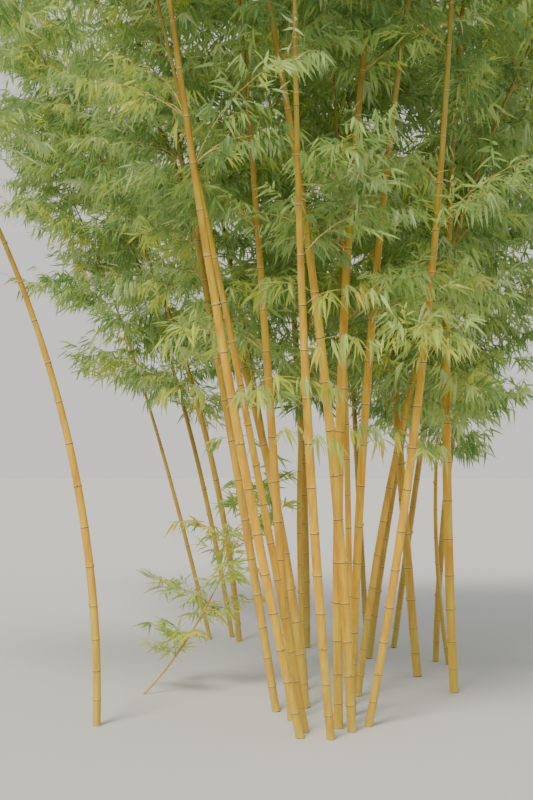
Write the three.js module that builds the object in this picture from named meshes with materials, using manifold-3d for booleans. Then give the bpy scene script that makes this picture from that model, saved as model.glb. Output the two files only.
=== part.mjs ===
// A clump of golden bamboo, rooted in the ground: jointed culms that rise from one root and lean apart,
// and the masses of drooping foliage that they carry. Millimetres, +Z up, +Y away from the viewer.
// The origin is the centre of the flat cut under the main culm, culm_14, at ground level.
import * as THREE from "three";
import { mergeVertices } from "three/addons/utils/BufferGeometryUtils.js";
import Module from "manifold-3d";

const wasm = await Module();
wasm.setup();

// The culms, from left to right: name, foot, diameter, height, lean and bow. In plan, foot is where the culm
// stands, lean how far its tip lies from its foot, and bow how far its middle swings sideways. The last two
// culms stand bare among the others, behind the middle of the clump.
const CULMS = [
  ["culm_01", [-1420, 70], 46, 5600, [-2170, -200], 570],
  ["culm_02", [-920, 3400], 35, 5000, [-1560, 850], 70],
  ["culm_03", [-730, 3550], 42, 6400, [-2150, 1300], 260],
  ["culm_04", [-660, 3300], 50, 7000, [-2800, 250], 550],
  ["culm_05", [-360, 450], 51, 7200, [-1190, 250], 0],
  ["culm_06", [-230, -240], 49, 7800, [-900, -900], -220],
  ["culm_07", [-195, -100], 41, 6400, [-1190, -550], 0],
  ["culm_08", [-270, 210], 50, 7400, [-400, -300], -30],
  ["culm_09", [-190, 1400], 43, 6600, [-1200, 600], 80],
  ["culm_10", [-170, 560], 51, 6800, [-2450, 900], 450],
  ["culm_11", [-150, 1120], 35, 5200, [400, 500], -190],
  ["culm_12", [-80, 2960], 64, 7200, [-550, 800], 140],
  ["culm_13", [-60, -270], 49, 6400, [-140, -900], -120],
  ["culm_14", [0, 0], 54, 8000, [630, -300], -190],
  ["culm_15", [70, -85], 53, 7600, [-1200, -750], 210],
  ["culm_16", [105, 340], 48, 8000, [880, -1000], -190],
  ["culm_17", [190, 920], 44, 6800, [2300, 450], -370],
  ["culm_18", [180, 50], 47, 7600, [290, -700], 280],
  ["culm_19", [400, 2410], 49, 6600, [1700, 800], -190],
  ["culm_20", [660, 2960], 50, 7000, [1300, 900], -50],
  ["culm_21", [680, 1630], 62, 7400, [-230, 700], -70],
  ["culm_22", [850, 1050], 60, 7600, [250, -100], -140],
  ["culm_23", [910, 2270], 48, 7000, [1700, 900], -320],
  ["culm_24", [985, 2130], 30, 4400, [460, 100], -270],
  ["culm_25", [120, 620], 38, 6300, [-100, 420], 20],
  ["culm_26", [420, 2800], 44, 6600, [-180, 620], -30],
  ["shoot_low_left", [-1240, 990], 14, 1400, [480, 250], 220],
].map(([name, foot, diameter, height, lean, bow]) => ({ name, foot, diameter, height, lean, bow }));

// The masses of foliage: name, culm, the heights between which its stem climbs beside the culm, and the side
// on which it hangs, in degrees from +X. Where a limb is in the way of the stem, the mass turns aside.
const MASS_ROWS = [
  ["foliage_01", "culm_01", 3100, 5500, 200],
  ["foliage_02", "culm_02", 2600, 4900, 200],
  ["foliage_03_low", "culm_03", 2200, 4500, 90],
  ["foliage_03_high", "culm_03", 4600, 6300, 80],
  ["foliage_04_low", "culm_04", 2200, 4600, 250],
  ["foliage_04_high", "culm_04", 4700, 6900, 200],
  ["foliage_05_low", "culm_05", 2200, 4700, 180],
  ["foliage_05_high", "culm_05", 4900, 7100, 170],
  ["foliage_06_low", "culm_06", 2300, 4900, 215],
  ["foliage_06_high", "culm_06", 5100, 7700, 200],
  ["foliage_07", "culm_07", 4200, 6300, 180],
  ["foliage_08", "culm_08", 4400, 7300, 90],
  ["foliage_09", "culm_09", 1900, 6500, 120],
  ["foliage_10", "culm_10", 3600, 6700, 100],
  ["foliage_11", "culm_11", 3000, 5100, 200],
  ["foliage_12_low", "culm_12", 1900, 4600, 90],
  ["foliage_12_high", "culm_12", 4700, 7100, 110],
  ["foliage_13", "culm_13", 1900, 6300, 265],
  ["foliage_14", "culm_14", 5000, 7900, 100],
  ["foliage_15", "culm_15", 5000, 7500, 290],
  ["foliage_16", "culm_16", 5300, 7900, 20],
  ["foliage_17", "culm_17", 3600, 6700, 330],
  ["foliage_18_low", "culm_18", 1800, 4400, 320],
  ["foliage_18_high", "culm_18", 4600, 7500, 270],
  ["foliage_20_low", "culm_20", 1700, 4400, 60],
  ["foliage_20_high", "culm_20", 4500, 6900, 80],
  ["foliage_21_low", "culm_21", 1900, 4700, 100],
  ["foliage_21_high", "culm_21", 4900, 7300, 60],
  ["foliage_22_low", "culm_22", 1800, 4400, 330],
  ["foliage_22_high", "culm_22", 4600, 7500, 20],
  ["foliage_23", "culm_23", 3000, 6900, 330],
  ["foliage_24", "culm_24", 1700, 4200, 330],
  ["foliage_low_left", "shoot_low_left", 350, 1350, 150],
];
const MIDDLE_Y = 1200; // the middle of the clump: the culms behind it stand in shade

// The culm's form
const NOD = 350; // how far the thin tip nods out past its lean
const SHOULDER = 120; // how far the nod lifts the culm's upper half
const TIP_SHARE = 0.07; // the tip's radius as a share of the foot's
const TAPER_POWER = 1.25; // a culm keeps its thickness low down and loses it near the tip
const SWELL = 0.2; // how far a culm swells above its foot, as a share of its radius
const SWELL_ENDS = 0.5; // where along the culm the swelling has gone
const CULM_SIDES = 6;
const CULM_STEP = 800; // the height of one straight stretch of the solid

// A mass of foliage
const BRANCH_REACH = 1250; // the longest leafy branch, in plan
const TIP_REACH = 500; // what the reach shrinks to at the culm's tip
const STEM_OUT = 360; // how far beside its culm a mass's stem stands
const STEM_RADIUS = 12;
const TWIG_RADIUS = 10;
const TWIG_SIDES = 3;
const TWIG_RISE = 38; // degrees above level where a twig leaves its stem
const STEM_STEP = 800; // the length of one straight stretch of a stem
const TWIG_SPACING = 820; // along the stem
const GOLDEN_ANGLE = 137.5; // from one twig to the next, round the stem
// The shares of its reach, with the turns in degrees, that a twig tries before it is skipped
const TWIG_TRIES = [
  [1, 0], [1, 30], [1, -30], [0.7, 0], [0.7, 60], [0.7, -60], [0.45, 0], [0.45, 90], [0.45, -90],
];
const LEAF_LENGTH = 880; // each leaf of the solid stands for a spray
const LEAF_WIDTH = 290;
const LEAF_THICKNESS = 13;
const LEAF_WIDEST = 0.38; // where the leaf is widest, as a share of its length
const LEAF_THICKEST = 0.14;
const LEAF_SUNK = 1; // how deep a leaf's root goes past the middle of its twig
const LEAF_DROOP = 36; // degrees below level
const TOP_LEAF_RISE = 36; // degrees above level, for the leaf on the tip of a mass's stem
const LEAF_SPREAD = 48; // degrees from twig to leaf, in plan
const LEAF_ROLL = 75; // the most degrees that a blade is turned about its own length
const LEAF_PLACES = [0.46, 0.64, 0.82, 1]; // along the twig

// Gaps
const SEAT_GAP = 0.3; // between a mass's stem and its culm
const SPACE_GAP = 20; // from a mass to its neighbour's space
const LIMB_GAP = 8; // from a twig or leaf to a limb that it passes
const LEAF_GAP = 110; // between the middles of two leaves

const UP = new THREE.Vector3(0, 0, 1);
const near = new THREE.Vector3();
const radians = THREE.MathUtils.degToRad;

// The same run of numbers between 0 and 1 for the same seed
function seeded(seed) {
  let state = seed;
  return () => {
    state = (state * 1664525 + 1013904223) % 4294967296;
    return state / 4294967296;
  };
}

function direction(azimuth, elevation) {
  const level = Math.cos(radians(elevation));
  return new THREE.Vector3(
    Math.cos(radians(azimuth)) * level,
    Math.sin(radians(azimuth)) * level,
    Math.sin(radians(elevation)),
  );
}

// A culm's centre line: a leaning curve with a bow, whose tip nods out along its lean
function culmCurve({ foot, lean, bow, height }) {
  const [x, y] = foot;
  const swing = (bow * 4) / 3;
  const nod = new THREE.Vector2(...lean).setLength(NOD);
  return new THREE.CubicBezierCurve3(
    new THREE.Vector3(x, y, 0),
    new THREE.Vector3(x + lean[0] / 3 + swing, y + lean[1] / 3, height / 3),
    new THREE.Vector3(x + (lean[0] * 2) / 3 + swing, y + (lean[1] * 2) / 3, (height * 2) / 3 + SHOULDER),
    new THREE.Vector3(x + lean[0] + nod.x, y + lean[1] + nod.y, height),
  );
}

function culmRadius(culm, t) {
  const swell = 1 + SWELL * Math.sin(Math.PI * Math.min(t / SWELL_ENDS, 1));
  return (culm.diameter / 2) * swell * (1 - (1 - TIP_SHARE) * t ** TAPER_POWER);
}

// A round limb along a curve, bent from a straight cylinder. With a flat foot its lowest ring lies level.
function limb(curve, radiusAt, sides, steps, flatFoot) {
  const geometry = new THREE.CylinderGeometry(1, 1, 1, sides, steps);
  const chord = curve.getPoint(1).sub(curve.getPoint(0));
  const across = new THREE.Vector3().crossVectors(chord, UP).normalize();
  const position = geometry.getAttribute("position");
  for (let i = 0; i < position.count; i++) {
    const t = THREE.MathUtils.clamp(position.getY(i) + 0.5, 0, 1);
    const tangent = flatFoot && t < 1e-6 ? UP : curve.getTangent(t);
    const inward = new THREE.Vector3().crossVectors(across, tangent).normalize();
    const bent = curve.getPoint(t);
    bent.addScaledVector(across, position.getX(i) * radiusAt(t));
    bent.addScaledVector(inward, position.getZ(i) * radiusAt(t));
    position.setXYZ(i, bent.x, bent.y, bent.z);
  }
  return geometry;
}

// A leaf from its root along a direction: a blade that is thickest near its root and widest below its middle
function blade(root, along, side, length) {
  const geometry = new THREE.OctahedronGeometry(1);
  const position = geometry.getAttribute("position");
  const face = new THREE.Vector3().crossVectors(along, side);
  for (let i = 0; i < position.count; i++) {
    const x = position.getX(i);
    const middle = Math.abs(position.getY(i)) > 0.5 ? LEAF_WIDEST : LEAF_THICKEST;
    const share = Math.abs(x) > 0.5 ? (x + 1) / 2 : middle;
    const moved = root.clone().addScaledVector(along, share * length);
    moved.addScaledVector(side, (position.getY(i) * LEAF_WIDTH) / 2);
    moved.addScaledVector(face, (position.getZ(i) * LEAF_THICKNESS) / 2);
    position.setXYZ(i, moved.x, moved.y, moved.z);
  }
  return geometry;
}

function solidOf(geometry) {
  const bare = geometry.clone();
  bare.deleteAttribute("normal");
  bare.deleteAttribute("uv");
  const merged = mergeVertices(bare, 1e-4);
  return new wasm.Manifold(
    new wasm.Mesh({
      numProp: 3,
      vertProperties: merged.getAttribute("position").array,
      triVerts: new Uint32Array(merged.index.array),
    }),
  );
}

function geometryOf(solid) {
  const mesh = solid.getMesh();
  const geometry = new THREE.BufferGeometry();
  geometry.setAttribute("position", new THREE.BufferAttribute(mesh.vertProperties, 3));
  geometry.setIndex(new THREE.BufferAttribute(mesh.triVerts, 1));
  geometry.computeVertexNormals();
  return geometry;
}

// The shortest way between the line a-b and the line c-d
function lineDistance(a, b, c, d) {
  const clamp = THREE.MathUtils.clamp;
  const ab = new THREE.Vector3().subVectors(b, a);
  const cd = new THREE.Vector3().subVectors(d, c);
  const ca = new THREE.Vector3().subVectors(a, c);
  const skew = ab.lengthSq() * cd.lengthSq() - ab.dot(cd) ** 2;
  const turn = ab.dot(cd) * cd.dot(ca) - cd.lengthSq() * ab.dot(ca);
  const first = skew > 1e-6 ? clamp(turn / skew, 0, 1) : 0;
  const onOther = clamp((ab.dot(cd) * first + cd.dot(ca)) / cd.lengthSq(), 0, 1);
  const onOwn = clamp((ab.dot(cd) * onOther - ab.dot(ca)) / ab.lengthSq(), 0, 1);
  return a.clone().addScaledVector(ab, onOwn).distanceTo(c.clone().addScaledVector(cd, onOther));
}

// The limbs that twigs and leaves must pass: the culms, and later the stems of the masses
const LIMBS = CULMS.map((culm) => {
  culm.curve = culmCurve(culm);
  culm.line = culm.curve.getPoints(Math.max(4, Math.round(culm.height / CULM_STEP)));
  return { name: culm.name, line: culm.line, radius: (t) => culmRadius(culm, t) };
});

// Whether the line a-b, with so much stuff round it, passes clear of every limb but the one left out
function clearOfLimbs(a, b, stuff, leftOut) {
  return LIMBS.filter((limb) => limb.name !== leftOut).every(({ line, radius }) =>
    line.slice(1).every((end, i) => {
      const thickest = radius(i / (line.length - 1));
      return lineDistance(a, b, line[i], end) > thickest + stuff + LIMB_GAP;
    }),
  );
}

// The point at share t of a line of straight stretches
function pointOn(line, t) {
  const place = t * (line.length - 1);
  const i = Math.min(Math.floor(place), line.length - 2);
  return new THREE.Vector3().lerpVectors(line[i], line[i + 1], place - i);
}

function lineIsClear(line, stuff, leftOut) {
  return line.slice(1).every((end, i) => clearOfLimbs(line[i], end, stuff, leftOut));
}

// The stem of a mass leaves its culm low in the mass, and climbs beside it
function stemCurve(culm, from, to, azimuth) {
  const out = direction(azimuth, 0).multiplyScalar(Math.min(STEM_OUT, culm.height * 0.07));
  return new THREE.CubicBezierCurve3(
    culm.curve.getPoint(from),
    culm.curve.getPoint(from + (to - from) * 0.12).add(out),
    culm.curve.getPoint(from + (to - from) * 0.6).addScaledVector(out, 1.25),
    culm.curve.getPoint(to).addScaledVector(out, 0.7),
  );
}

// The share of a culm's curve at which it comes to a height
function shareAt(curve, height) {
  let low = 0;
  let high = 1;
  while (high - low > 1e-4) {
    const middle = (low + high) / 2;
    curve.getPoint(middle).z < height ? (low = middle) : (high = middle);
  }
  return low;
}

const MASSES = [];
for (const [name, culmName, bottom, top, side] of MASS_ROWS) {
  const culm = CULMS.find((other) => other.name === culmName);
  const from = shareAt(culm.curve, bottom);
  const to = shareAt(culm.curve, top);
  const turn = [0, 20, -20, 40, -40, 60, -60, 80, -80].find((degrees) =>
    lineIsClear(stemCurve(culm, from, to, side + degrees).getPoints(8), STEM_RADIUS, culmName),
  );
  const stem = stemCurve(culm, from, to, side + turn);
  const line = stem.getPoints(Math.max(2, Math.round(stem.getLength() / STEM_STEP)));
  LIMBS.push({ name, line, radius: () => STEM_RADIUS });
  MASSES.push({ name, culm, bottom, top, azimuth: side + turn, stem, line });
}

function distanceToLine(point, line) {
  const far = line.slice(1).map((end, i) =>
    new THREE.Line3(line[i], end).closestPointToPoint(point, true, near).distanceTo(point),
  );
  return Math.min(...far);
}

// Whether a point lies in the mass's own space: nearer to its stem than to any other's, by a gap
function inOwnSpace(point, mass) {
  const own = distanceToLine(point, mass.line) + SPACE_GAP;
  return MASSES.every((other) => other === mass || distanceToLine(point, other.line) > own);
}

// The corners of a piece, with the middles of its edges
function samples(geometry) {
  const flat = geometry.index ? geometry.toNonIndexed() : geometry;
  const position = flat.getAttribute("position");
  const corners = Array.from({ length: position.count }, (_, i) =>
    new THREE.Vector3().fromBufferAttribute(position, i),
  );
  const next = (i) => corners[i % 3 === 2 ? i - 2 : i + 1];
  return corners.flatMap((corner, i) => [corner, corner.clone().lerp(next(i), 0.5)]);
}

function fits(geometry, mass) {
  return samples(geometry).every((point) => point.z > SPACE_GAP && inOwnSpace(point, mass));
}

// How far a branch reaches in plan, at a height on its culm
function reachAt(culm, height) {
  const up = height / culm.height;
  const full = Math.min(BRANCH_REACH, culm.height * 0.35);
  return Math.min(full, TIP_REACH + (full - TIP_REACH) * 2.2 * (1 - up));
}

// A twig rises from its stem, arches over and ends nearly level
function twigCurve(base, azimuth, length) {
  return new THREE.QuadraticBezierCurve3(
    base.clone(),
    base.clone().addScaledVector(direction(azimuth, TWIG_RISE), length * 0.55),
    base.clone().addScaledVector(direction(azimuth, 12), length),
  );
}

// Whether a blade passes every limb: at once where the limbs are far, else by a fan of lines over the blade
function bladeIsClear(root, along, side, length, leftOut) {
  const tip = root.clone().addScaledVector(along, length);
  if (clearOfLimbs(root, tip, LEAF_WIDTH / 2, leftOut)) return true;
  const widest = root.clone().addScaledVector(along, LEAF_WIDEST * length);
  return [-1, -0.5, 0, 0.5, 1].every((share) => {
    const across = widest.clone().addScaledVector(side, (share * LEAF_WIDTH) / 2);
    return lineIsClear([root, across, tip], LEAF_WIDTH / 8, leftOut);
  });
}

// Adds a leaf where it fits: in its mass's space, clear of every limb, and apart from the leaves there
function growLeaf(mass, at, azimuth, elevation, roll, length, grown) {
  const along = direction(azimuth, elevation);
  const side = new THREE.Vector3().crossVectors(along, UP).normalize().applyAxisAngle(along, radians(roll));
  const root = at.clone().addScaledVector(along, -LEAF_SUNK);
  const tip = root.clone().addScaledVector(along, length);
  const from = root.clone().lerp(tip, 0.15);
  if (grown.some((leaf) => lineDistance(from, tip, leaf.from, leaf.tip) < LEAF_GAP)) return;
  const geometry = blade(root, along, side, length);
  if (!fits(geometry, mass) || !bladeIsClear(root, along, side, length, mass.name)) return;
  grown.push({ from, tip, geometry });
}

// The leaves of a twig: at each place the first of a few tries that fits
function growLeaves(mass, base, end, azimuth, length, random, grown) {
  LEAF_PLACES.forEach((place, k) => {
    const hand = place === 1 ? 0 : k % 2 ? -1 : 1;
    const at = pointOn([base, end], place);
    const before = grown.length;
    for (let attempt = 0; attempt < 6 && grown.length === before; attempt++) {
      const spread = hand * (LEAF_SPREAD + 14 * random()) + (attempt ? (random() - 0.5) * 80 : 0);
      const droop = -LEAF_DROOP * (0.4 + 0.9 * random());
      const roll = LEAF_ROLL * (2 * random() - 1);
      growLeaf(mass, at, azimuth + spread, droop, roll, length * (0.8 + 0.2 * random()), grown);
    }
  });
}

// One mass: its stem, twigs that leave the stem turn by turn, and leaves that droop from the twigs
function growMass(mass, seed) {
  const random = seeded(seed);
  const { culm, stem, line } = mass;
  const leafLength = Math.min(LEAF_LENGTH, culm.height * 0.2);
  const twigs = [limb(stem, (t) => STEM_RADIUS * (1 - 0.35 * t), TWIG_SIDES, line.length - 1)];
  const leaves = [];
  const count = Math.max(3, Math.round(stem.getLength() / TWIG_SPACING));
  for (let i = 0; i < count; i++) {
    const base = pointOn(line, 0.14 + (0.84 * (i + 0.5)) / count);
    const reach = reachAt(culm, base.z) * (0.85 + 0.15 * random());
    const turned = mass.azimuth + GOLDEN_ANGLE * (i + 1) + (random() - 0.5) * 30;
    for (const [shrink, swing] of TWIG_TRIES) {
      const curve = twigCurve(base, turned + swing, Math.max(reach - leafLength * 0.6, 200) * shrink);
      const end = curve.getPoint(1);
      const twig = limb(curve, (s) => TWIG_RADIUS * (1 - 0.2 * s), TWIG_SIDES, 1);
      if (!fits(twig, mass) || !lineIsClear([base, end], TWIG_RADIUS, mass.name)) continue;
      const before = leaves.length;
      growLeaves(mass, base, end, turned + swing, leafLength, random, leaves);
      if (leaves.length > before + 1) {
        twigs.push(twig);
        break;
      }
      leaves.length = before;
    }
  }
  growLeaf(mass, line.at(-1), mass.azimuth + 60 * random(), TOP_LEAF_RISE, 0, leafLength, leaves);
  growLeaf(mass, pointOn(line, 0.97), mass.azimuth + 180 - 60 * random(), 8, 30, leafLength, leaves);
  return [...twigs, ...leaves.map((leaf) => leaf.geometry)];
}

// The pieces fused into one solid, cut clear of their culm, with loose scraps dropped
function fuse(pieces, culm) {
  const radiusAt = (t) => culmRadius(culm, t) + SEAT_GAP;
  const widened = limb(culm.curve, radiusAt, CULM_SIDES, culm.line.length - 1, true);
  const joined = wasm.Manifold.union(pieces.map(solidOf)).subtract(solidOf(widened));
  return joined.decompose().reduce((most, part) => (part.volume() > most.volume() ? part : most));
}

const golden = new THREE.MeshStandardMaterial({ color: 0xd6a548, roughness: 0.45, metalness: 0 });
const shaded = new THREE.MeshStandardMaterial({ color: 0xa9803a, roughness: 0.5, metalness: 0 });
const leafGreen = new THREE.MeshStandardMaterial({ color: 0x7d9440, roughness: 0.6, metalness: 0 });

const bamboo = new THREE.Group();
for (const culm of CULMS) {
  const geometry = limb(culm.curve, (t) => culmRadius(culm, t), CULM_SIDES, culm.line.length - 1, true);
  const mesh = new THREE.Mesh(geometry, culm.foot[1] > MIDDLE_Y ? shaded : golden);
  mesh.name = culm.name;
  bamboo.add(mesh);
}
MASSES.forEach((mass, i) => {
  const solid = fuse(growMass(mass, 1000 + 77 * i), mass.culm);
  const mesh = new THREE.Mesh(geometryOf(solid), leafGreen);
  mesh.name = mass.name;
  bamboo.add(mesh);
});

export default bamboo;
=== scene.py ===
# %% [markdown]
# # A clump of golden bamboo
#
# The real plant is a large golden bamboo, rooted in the ground. Its bare canes, which are called culms, rise
# from one foot and lean apart. From about two metres up, each joint of a culm carries a few thin branches
# with fans of narrow leaves, which hang in a dense, airy crown.
#
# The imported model, the frame, has each culm and each mass of foliage as a plain solid. This script dresses
# it: first the view and the light, then the finishes and the culms, and last branches, twigs and leaves, each
# grown on from the one before by a rule. One unit is one metre.

# %% Load the frame
import math

import bpy
import numpy as np
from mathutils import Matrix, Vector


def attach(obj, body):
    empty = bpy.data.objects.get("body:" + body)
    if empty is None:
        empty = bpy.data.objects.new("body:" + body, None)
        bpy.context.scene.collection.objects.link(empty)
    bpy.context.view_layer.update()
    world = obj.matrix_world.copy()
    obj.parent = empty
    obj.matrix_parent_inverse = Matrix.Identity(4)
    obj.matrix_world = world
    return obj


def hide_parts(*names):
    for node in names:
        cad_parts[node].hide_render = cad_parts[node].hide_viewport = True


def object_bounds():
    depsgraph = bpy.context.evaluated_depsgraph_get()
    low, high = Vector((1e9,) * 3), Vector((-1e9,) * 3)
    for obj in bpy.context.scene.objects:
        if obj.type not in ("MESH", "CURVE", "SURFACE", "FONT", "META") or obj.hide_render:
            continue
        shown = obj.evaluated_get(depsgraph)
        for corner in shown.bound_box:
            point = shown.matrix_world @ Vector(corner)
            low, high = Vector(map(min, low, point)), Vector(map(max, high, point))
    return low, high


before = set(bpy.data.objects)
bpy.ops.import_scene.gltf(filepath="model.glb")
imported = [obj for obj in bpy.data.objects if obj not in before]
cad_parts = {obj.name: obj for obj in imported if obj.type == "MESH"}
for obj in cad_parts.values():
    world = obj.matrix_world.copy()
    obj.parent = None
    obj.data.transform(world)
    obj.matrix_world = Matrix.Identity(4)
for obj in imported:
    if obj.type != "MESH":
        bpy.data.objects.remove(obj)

cad_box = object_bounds()
bpy.ops.object.select_all(action="DESELECT")
print("the solids' box:", [[round(c, 2) for c in corner] for corner in cad_box])

# %% [markdown]
# ## The camera
#
# The photo is upright, taken from about six and a half metres away at eye level and tilted up a little, so
# the crown runs out of the picture. A 50 mm lens on a 36 mm high picture gives the same width of view. The
# camera comes first, because everything after it is judged through it.

# %% Camera
EYE = (-0.42, -6.58, 1.50)
TILT_UP = 3.6  # degrees above level
bpy.ops.object.camera_add(location=EYE, rotation=(math.radians(90 + TILT_UP), 0, 0))
camera = bpy.context.object
camera.name = "camera"
camera.data.lens = 50
bpy.context.scene.camera = camera
print("camera at", EYE)

# %% [markdown]
# ## Floor and light
#
# A plain pale floor carries the clump, and a pale world gives the soft light of a studio tent or a bright
# overcast day. One broad sun from the left and the front gives the round culms a lit side and a shaded side.
# It is broad, twenty degrees across, so the leaves throw soft shadows.

# %% Colours and nodes
def linear(hex_colour):
    """An sRGB hex colour as the linear RGBA that a node socket takes."""
    channels = [int(hex_colour[i:i + 2], 16) / 255 for i in (0, 2, 4)]
    return tuple(c / 12.92 if c <= 0.04045 else ((c + 0.055) / 1.055) ** 2.4 for c in channels) + (1.0,)


def add_node(tree, kind, settings=None, **inputs):
    """Adds a node. settings are its own properties; inputs are values, or sockets to link."""
    node = tree.nodes.new(kind)
    for name, value in (settings or {}).items():
        setattr(node, name, value)
    for name, value in inputs.items():
        key = int(name[1:]) if name[0] == "_" else name.replace("_", " ")
        socket = node.inputs[key]
        if isinstance(value, bpy.types.NodeSocket):
            tree.links.new(value, socket)
        else:
            socket.default_value = value
    return node


def new_material(name):
    """An empty material and its tree, with the output node in place."""
    material = bpy.data.materials.new(name)
    material.use_nodes = True
    material.node_tree.nodes.clear()
    return material, material.node_tree, material.node_tree.nodes.new("ShaderNodeOutputMaterial")


print("mid grey in linear light:", [round(c, 3) for c in linear("808080")])

# %% Floor, world and sun
WORLD_STRENGTH = 0.95
SUN_STRENGTH = 4.0
SUN_TILT = math.radians(38)  # from straight down
SUN_TURN = math.radians(-26)  # it comes from the left and the front
SUN_BREADTH = math.radians(20)

bpy.ops.mesh.primitive_grid_add(x_subdivisions=4, y_subdivisions=4, size=400, location=(0, 0, -0.002))
floor = bpy.context.object
floor.name = "floor"
plaster, tree, output = new_material("matt_plaster_floor")
paint = add_node(tree, "ShaderNodeBsdfPrincipled", Base_Color=linear("BBBDC0"), Roughness=0.9)
tree.links.new(paint.outputs[0], output.inputs[0])
floor.data.materials.append(plaster)

world = bpy.data.worlds.new("studio_tent")
bpy.context.scene.world = world
world.use_nodes = True
tent = world.node_tree.nodes["Background"]
tent.inputs["Color"].default_value = linear("F4F2EC")
tent.inputs["Strength"].default_value = WORLD_STRENGTH

bpy.ops.object.light_add(type="SUN", rotation=(SUN_TILT, 0, SUN_TURN))
sun = bpy.context.object
sun.name = "broad_sun"
sun.data.energy = SUN_STRENGTH
sun.data.angle = SUN_BREADTH
sun.data.color = linear("FFF4DF")[:3]
print("light:", sun.data.energy, "W/m2 of sun")

# %% [markdown]
# ## The skin of a culm
#
# A bamboo culm is a hollow cane with a hard, waxy skin. On this kind it ripens from green to golden yellow,
# with orange stains where the sun has reached it, and it stays greenest at the foot. At each joint there is a
# thin dark scar where the sheath sat, a raised ridge above it, and a faint pale bloom of wax.
#
# The finish is one shader whose colour is built up in that order. The texture map of a culm counts joints
# along its length, so its fraction says how far a point lies between two joints: a colour ramp on that
# fraction paints scar, a painted highlight on the ridge, and bloom on every joint at once, whatever its
# length.

# %% Culm material
def fill_ramp(ramp, stops):
    """Gives a colour ramp its stops: position, colour and how strongly it covers."""
    elements = ramp.color_ramp.elements
    for number, (position, colour, strength) in enumerate(stops):
        element = elements[0] if number == 0 else elements.new(position)
        element.position = position
        element.color = linear(colour)[:3] + (strength,)
    elements.remove(elements[-1])


cane, tree, output = new_material("waxed_golden_cane")  # a hard waxy skin: broad, soft highlights
place = add_node(tree, "ShaderNodeTexCoord")
joints = add_node(tree, "ShaderNodeUVMap", {"uv_map": "joints"})
along = add_node(tree, "ShaderNodeSeparateXYZ", Vector=joints.outputs["UV"])
between = add_node(tree, "ShaderNodeMath", {"operation": "FRACT"}, _0=along.outputs["Y"])

# Stains are drawn out along the culm: about 40 mm wide and 300 mm long
STAIN_MM = 40
STAIN_WIDTH = 0.13  # as a share of its length
GOLDS = ((0.30, "CC941C", 1.0), (0.48, "E0AE22", 1.0), (0.68, "E8C430", 1.0))
stretched = add_node(tree, "ShaderNodeMapping", Vector=place.outputs["Object"], Scale=(1, 1, STAIN_WIDTH))
stain = add_node(tree, "ShaderNodeTexNoise", Vector=stretched.outputs[0], Scale=1000 / STAIN_MM, Detail=3.0)
gold = add_node(tree, "ShaderNodeValToRGB", Fac=stain.outputs["Fac"])
fill_ramp(gold, GOLDS)

# Each culm has a tint of its own, from fresh gold to a dull olive brown, kept as an attribute of its mesh. It
# is partly the culm's real age and partly painted shade, as the culms at the back get the duller tints
tint = add_node(tree, "ShaderNodeAttribute", {"attribute_name": "tint"})
aged_and_shaded = add_node(tree, "ShaderNodeMix", {"data_type": "RGBA"}, Factor=tint.outputs["Fac"],
                _6=gold.outputs["Color"], _7=linear("A48A44"))

# The green of a young culm stays longest in patches on its lowest metre
GREEN_UP_TO = 1.0
height = add_node(tree, "ShaderNodeSeparateXYZ", Vector=place.outputs["Object"])
green_foot = add_node(tree, "ShaderNodeMapRange", Value=height.outputs["Z"],
                      _1=0.0, _2=GREEN_UP_TO, _3=1.0, _4=0.0)
patches = add_node(tree, "ShaderNodeMath", {"operation": "MULTIPLY"},
                   _0=green_foot.outputs[0], _1=stain.outputs["Fac"])
footed = add_node(tree, "ShaderNodeMix", {"data_type": "RGBA"}, Factor=patches.outputs[0],
                  _6=aged_and_shaded.outputs[2], _7=linear("B2AC50"))

# Inside the crown the skin is multiplied darker and greyer with height: painted shade of the foliage above
PAINTED_SHADE_FROM, PAINTED_SHADE_FULL = 1.5, 3.8
painted_shade = add_node(tree, "ShaderNodeMapRange", Value=height.outputs["Z"],
                _1=PAINTED_SHADE_FROM, _2=PAINTED_SHADE_FULL, _3=0.0, _4=1.0)
shaded_skin = add_node(tree, "ShaderNodeMix", {"data_type": "RGBA", "blend_type": "MULTIPLY"},
                  Factor=painted_shade.outputs[0], _6=footed.outputs[2], _7=linear("A4B6E4"))

# Weather streaks run down the skin, about 12 mm wide and half a metre long
STREAK_MM = 12
STREAK_WIDTH = 0.024  # as a share of its length
STREAK_STRENGTH = 0.26
drawn = add_node(tree, "ShaderNodeMapping", Vector=place.outputs["Object"], Scale=(1, 1, STREAK_WIDTH))
streak = add_node(tree, "ShaderNodeTexNoise", Vector=drawn.outputs[0], Scale=1000 / STREAK_MM, Detail=2.0)
streak_tone = add_node(tree, "ShaderNodeMapRange", Value=streak.outputs["Fac"],
                       _1=0.38, _2=0.60, _3=STREAK_STRENGTH, _4=0.0)
streaked = add_node(tree, "ShaderNodeMix", {"data_type": "RGBA", "blend_type": "MULTIPLY"},
                    Factor=streak_tone.outputs[0], _6=shaded_skin.outputs[2], _7=linear("BC9A68"))
print("culm skin: stains", STAIN_MM, "mm wide, streaks", STREAK_MM, "mm wide")

# %% [markdown]
# ## The bands at each joint
#
# The real scar is about 1 mm wide. It is drawn about 5 mm wide here, or it would be lost at this distance.
# The last number of each stop says how strongly its colour covers the skin, so that the scar and the bloom
# fade out softly to both sides.

# %% Joint colours
bands = add_node(tree, "ShaderNodeValToRGB", Fac=between.outputs[0])
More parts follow.
